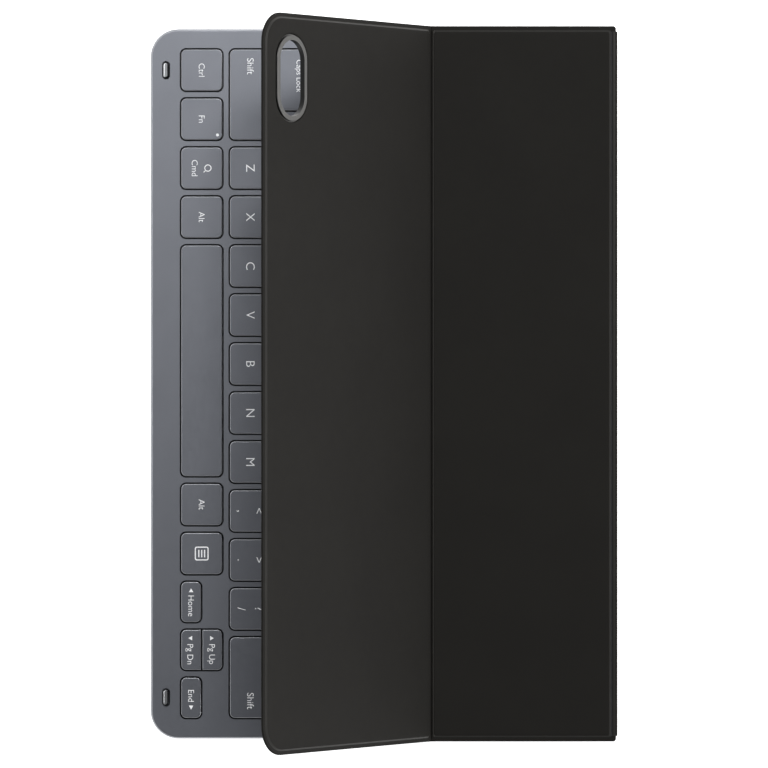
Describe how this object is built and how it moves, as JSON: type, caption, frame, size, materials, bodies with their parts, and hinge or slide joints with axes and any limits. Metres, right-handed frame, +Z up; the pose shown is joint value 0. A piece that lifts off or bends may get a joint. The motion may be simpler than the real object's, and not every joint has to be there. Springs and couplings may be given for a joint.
{
  "type": "tablet keyboard case",
  "caption": "Slim keyboard base with a soft folding cover in two stiff panels, a camera window in the upper one, and a spine that stands at the rear edge.",
  "frame": {"origin": "bottom centre of the whole object, on the table under the middle of its box", "axes": "+X towards the right-hand end of the keyboard, +Y from the space bar towards the spine, +Z up"},
  "size_m": [0.2578, 0.1686, 0.0962],
  "materials": {
    "deck_plastic": "satin",
    "key_plastic": "satin",
    "cover_pu": "matte",
    "lining_suede": "matte",
    "stiffener_board": "matte",
    "magnet_steel": "satin",
    "ring_metal": "satin",
    "bumper_rubber": "matte",
    "plate_metal": "satin",
    "membrane_film": "satin",
    "dome_silicone": "satin",
    "link_plastic": "matte",
    "wire_steel": "satin",
    "board_green": "satin",
    "contact_housing": "satin",
    "contact_brass": "polished"
  },
  "bodies": {
    "base": {"deck_frame": "deck_plastic", "bumpers": "bumper_rubber", "bottom_skin": "cover_pu", "support_plate": "plate_metal", "switch_membrane": "membrane_film", "rubber_domes": "dome_silicone", "scissor_links": "link_plastic", "stabiliser_wires": "wire_steel", "controller_board": "board_green", "flex_cables": "membrane_film", "dock_rail": "deck_plastic", "pogo_housing": "contact_housing", "base_magnets": "magnet_steel", "base_crease": "cover_pu"},
    "contacts": {"pogo_pins": "contact_brass"},
    "spine": {"spine_skin": "cover_pu", "spine_stiffener": "stiffener_board", "spine_lining": "lining_suede", "cover_crease": "cover_pu"},
    "lower_panel": {"lower_outer_skin": "cover_pu", "lower_stiffener": "stiffener_board", "lower_lining": "lining_suede", "lower_magnets": "magnet_steel", "mid_crease": "cover_pu"},
    "upper_panel": {"upper_outer_skin": "cover_pu", "upper_stiffener": "stiffener_board", "upper_lining": "lining_suede", "upper_magnets": "magnet_steel", "camera_ring": "ring_metal"},
    "key_alt_left": {"key_alt_left": "key_plastic"},
    "key_alt_right": {"key_alt_right": "key_plastic"},
    "key_b": {"key_b": "key_plastic"},
    "key_backspace": {"key_backspace": "key_plastic"},
    "key_c": {"key_c": "key_plastic"},
    "key_caps": {"key_caps": "key_plastic"},
    "key_cmd": {"key_cmd": "key_plastic"},
    "key_comma": {"key_comma": "key_plastic"},
    "key_ctrl": {"key_ctrl": "key_plastic"},
    "key_down": {"key_down": "key_plastic"},
    "key_enter": {"key_enter": "key_plastic"},
    "key_fn": {"key_fn": "key_plastic"},
    "key_left": {"key_left": "key_plastic"},
    "key_m": {"key_m": "key_plastic"},
    "key_menu": {"key_menu": "key_plastic"},
    "key_n": {"key_n": "key_plastic"},
    "key_period": {"key_period": "key_plastic"},
    "key_right": {"key_right": "key_plastic"},
    "key_shift_left": {"key_shift_left": "key_plastic"},
    "key_shift_right": {"key_shift_right": "key_plastic"},
    "key_slash": {"key_slash": "key_plastic"},
    "key_space": {"key_space": "key_plastic"},
    "key_tab": {"key_tab": "key_plastic"},
    "key_up": {"key_up": "key_plastic"},
    "key_v": {"key_v": "key_plastic"},
    "key_x": {"key_x": "key_plastic"},
    "key_z": {"key_z": "key_plastic"},
    "keys_function_row": {"keys_function_row": "key_plastic"},
    "keys_home_row": {"keys_home_row": "key_plastic"},
    "keys_number_row": {"keys_number_row": "key_plastic"},
    "keys_qwerty_row": {"keys_qwerty_row": "key_plastic"}
  },
  "joints": [
    {"name": "base_fold", "type": "hinge", "parent": "base", "child": "spine", "pos_m": [0, 0.0839, 0.0004], "axis": [-1, 0, 0], "range_deg": [0, 180], "deforming": ["base_crease"]},
    {"name": "cover_fold", "type": "hinge", "parent": "spine", "child": "lower_panel", "pos_m": [0, 0.08345, 0.01295], "axis": [-1, 0, 0], "range_deg": [0, 180], "deforming": ["cover_crease"]},
    {"name": "mid_fold", "type": "hinge", "parent": "lower_panel", "child": "upper_panel", "pos_m": [0, 0.01709, 0.0127], "axis": [1, 0, 0], "range_deg": [-30, 54.6], "deforming": ["mid_crease"]},
    {"name": "contact_press", "type": "slide", "parent": "base", "child": "contacts", "axis": [0, 0, -1], "range_m": [0, 0.00055], "stiffness_N_per_m": 600, "springref_m": -0.0003},
    {"name": "key_alt_left_press", "type": "slide", "parent": "base", "child": "key_alt_left", "axis": [0, 0, -1], "range_m": [0, 0.0012], "stiffness_N_per_m": 500, "springref_m": -0.0006, "deforming": ["rubber_domes", "scissor_links", "stabiliser_wires"]},
    {"name": "key_alt_right_press", "type": "slide", "parent": "base", "child": "key_alt_right", "axis": [0, 0, -1], "range_m": [0, 0.0012], "stiffness_N_per_m": 500, "springref_m": -0.0006, "deforming": ["rubber_domes", "scissor_links", "stabiliser_wires"]},
    {"name": "key_b_press", "type": "slide", "parent": "base", "child": "key_b", "axis": [0, 0, -1], "range_m": [0, 0.0012], "stiffness_N_per_m": 500, "springref_m": -0.0006, "deforming": ["rubber_domes", "scissor_links", "stabiliser_wires"]},
    {"name": "key_backspace_press", "type": "slide", "parent": "base", "child": "key_backspace", "axis": [0, 0, -1], "range_m": [0, 0.0012], "stiffness_N_per_m": 500, "springref_m": -0.0006, "deforming": ["rubber_domes", "scissor_links", "stabiliser_wires"]},
    {"name": "key_c_press", "type": "slide", "parent": "base", "child": "key_c", "axis": [0, 0, -1], "range_m": [0, 0.0012], "stiffness_N_per_m": 500, "springref_m": -0.0006, "deforming": ["rubber_domes", "scissor_links", "stabiliser_wires"]},
    {"name": "key_caps_press", "type": "slide", "parent": "base", "child": "key_caps", "axis": [0, 0, -1], "range_m": [0, 0.0012], "stiffness_N_per_m": 500, "springref_m": -0.0006, "deforming": ["rubber_domes", "scissor_links", "stabiliser_wires"]},
    {"name": "key_cmd_press", "type": "slide", "parent": "base", "child": "key_cmd", "axis": [0, 0, -1], "range_m": [0, 0.0012], "stiffness_N_per_m": 500, "springref_m": -0.0006, "deforming": ["rubber_domes", "scissor_links", "stabiliser_wires"]},
    {"name": "key_comma_press", "type": "slide", "parent": "base", "child": "key_comma", "axis": [0, 0, -1], "range_m": [0, 0.0012], "stiffness_N_per_m": 500, "springref_m": -0.0006, "deforming": ["rubber_domes", "scissor_links", "stabiliser_wires"]},
    {"name": "key_ctrl_press", "type": "slide", "parent": "base", "child": "key_ctrl", "axis": [0, 0, -1], "range_m": [0, 0.0012], "stiffness_N_per_m": 500, "springref_m": -0.0006, "deforming": ["rubber_domes", "scissor_links", "stabiliser_wires"]},
    {"name": "key_down_press", "type": "slide", "parent": "base", "child": "key_down", "axis": [0, 0, -1], "range_m": [0, 0.0012], "stiffness_N_per_m": 500, "springref_m": -0.0006, "deforming": ["rubber_domes", "scissor_links", "stabiliser_wires"]},
    {"name": "key_enter_press", "type": "slide", "parent": "base", "child": "key_enter", "axis": [0, 0, -1], "range_m": [0, 0.0012], "stiffness_N_per_m": 500, "springref_m": -0.0006, "deforming": ["rubber_domes", "scissor_links", "stabiliser_wires"]},
    {"name": "key_fn_press", "type": "slide", "parent": "base", "child": "key_fn", "axis": [0, 0, -1], "range_m": [0, 0.0012], "stiffness_N_per_m": 500, "springref_m": -0.0006, "deforming": ["rubber_domes", "scissor_links", "stabiliser_wires"]},
    {"name": "key_left_press", "type": "slide", "parent": "base", "child": "key_left", "axis": [0, 0, -1], "range_m": [0, 0.0012], "stiffness_N_per_m": 500, "springref_m": -0.0006, "deforming": ["rubber_domes", "scissor_links", "stabiliser_wires"]},
    {"name": "key_m_press", "type": "slide", "parent": "base", "child": "key_m", "axis": [0, 0, -1], "range_m": [0, 0.0012], "stiffness_N_per_m": 500, "springref_m": -0.0006, "deforming": ["rubber_domes", "scissor_links", "stabiliser_wires"]},
    {"name": "key_menu_press", "type": "slide", "parent": "base", "child": "key_menu", "axis": [0, 0, -1], "range_m": [0, 0.0012], "stiffness_N_per_m": 500, "springref_m": -0.0006, "deforming": ["rubber_domes", "scissor_links", "stabiliser_wires"]},
    {"name": "key_n_press", "type": "slide", "parent": "base", "child": "key_n", "axis": [0, 0, -1], "range_m": [0, 0.0012], "stiffness_N_per_m": 500, "springref_m": -0.0006, "deforming": ["rubber_domes", "scissor_links", "stabiliser_wires"]},
    {"name": "key_period_press", "type": "slide", "parent": "base", "child": "key_period", "axis": [0, 0, -1], "range_m": [0, 0.0012], "stiffness_N_per_m": 500, "springref_m": -0.0006, "deforming": ["rubber_domes", "scissor_links", "stabiliser_wires"]},
    {"name": "key_right_press", "type": "slide", "parent": "base", "child": "key_right", "axis": [0, 0, -1], "range_m": [0, 0.0012], "stiffness_N_per_m": 500, "springref_m": -0.0006, "deforming": ["rubber_domes", "scissor_links", "stabiliser_wires"]},
    {"name": "key_shift_left_press", "type": "slide", "parent": "base", "child": "key_shift_left", "axis": [0, 0, -1], "range_m": [0, 0.0012], "stiffness_N_per_m": 500, "springref_m": -0.0006, "deforming": ["rubber_domes", "scissor_links", "stabiliser_wires"]},
    {"name": "key_shift_right_press", "type": "slide", "parent": "base", "child": "key_shift_right", "axis": [0, 0, -1], "range_m": [0, 0.0012], "stiffness_N_per_m": 500, "springref_m": -0.0006, "deforming": ["rubber_domes", "scissor_links", "stabiliser_wires"]},
    {"name": "key_slash_press", "type": "slide", "parent": "base", "child": "key_slash", "axis": [0, 0, -1], "range_m": [0, 0.0012], "stiffness_N_per_m": 500, "springref_m": -0.0006, "deforming": ["rubber_domes", "scissor_links", "stabiliser_wires"]},
    {"name": "key_space_press", "type": "slide", "parent": "base", "child": "key_space", "axis": [0, 0, -1], "range_m": [0, 0.0012], "stiffness_N_per_m": 500, "springref_m": -0.0006, "deforming": ["rubber_domes", "scissor_links", "stabiliser_wires"]},
    {"name": "key_tab_press", "type": "slide", "parent": "base", "child": "key_tab", "axis": [0, 0, -1], "range_m": [0, 0.0012], "stiffness_N_per_m": 500, "springref_m": -0.0006, "deforming": ["rubber_domes", "scissor_links", "stabiliser_wires"]},
    {"name": "key_up_press", "type": "slide", "parent": "base", "child": "key_up", "axis": [0, 0, -1], "range_m": [0, 0.0012], "stiffness_N_per_m": 500, "springref_m": -0.0006, "deforming": ["rubber_domes", "scissor_links", "stabiliser_wires"]},
    {"name": "key_v_press", "type": "slide", "parent": "base", "child": "key_v", "axis": [0, 0, -1], "range_m": [0, 0.0012], "stiffness_N_per_m": 500, "springref_m": -0.0006, "deforming": ["rubber_domes", "scissor_links", "stabiliser_wires"]},
    {"name": "key_x_press", "type": "slide", "parent": "base", "child": "key_x", "axis": [0, 0, -1], "range_m": [0, 0.0012], "stiffness_N_per_m": 500, "springref_m": -0.0006, "deforming": ["rubber_domes", "scissor_links", "stabiliser_wires"]},
    {"name": "key_z_press", "type": "slide", "parent": "base", "child": "key_z", "axis": [0, 0, -1], "range_m": [0, 0.0012], "stiffness_N_per_m": 500, "springref_m": -0.0006, "deforming": ["rubber_domes", "scissor_links", "stabiliser_wires"]},
    {"name": "keys_function_row_press", "type": "slide", "parent": "base", "child": "keys_function_row", "axis": [0, 0, -1], "range_m": [0, 0.0012], "stiffness_N_per_m": 7000, "springref_m": -0.0006, "deforming": ["rubber_domes", "scissor_links", "stabiliser_wires"]},
    {"name": "keys_home_row_press", "type": "slide", "parent": "base", "child": "keys_home_row", "axis": [0, 0, -1], "range_m": [0, 0.0012], "stiffness_N_per_m": 5500, "springref_m": -0.0006, "deforming": ["rubber_domes", "scissor_links", "stabiliser_wires"]},
    {"name": "keys_number_row_press", "type": "slide", "parent": "base", "child": "keys_number_row", "axis": [0, 0, -1], "range_m": [0, 0.0012], "stiffness_N_per_m": 6500, "springref_m": -0.0006, "deforming": ["rubber_domes", "scissor_links", "stabiliser_wires"]},
    {"name": "keys_qwerty_row_press", "type": "slide", "parent": "base", "child": "keys_qwerty_row", "axis": [0, 0, -1], "range_m": [0, 0.0012], "stiffness_N_per_m": 6500, "springref_m": -0.0006, "deforming": ["rubber_domes", "scissor_links", "stabiliser_wires"]}
  ]
}
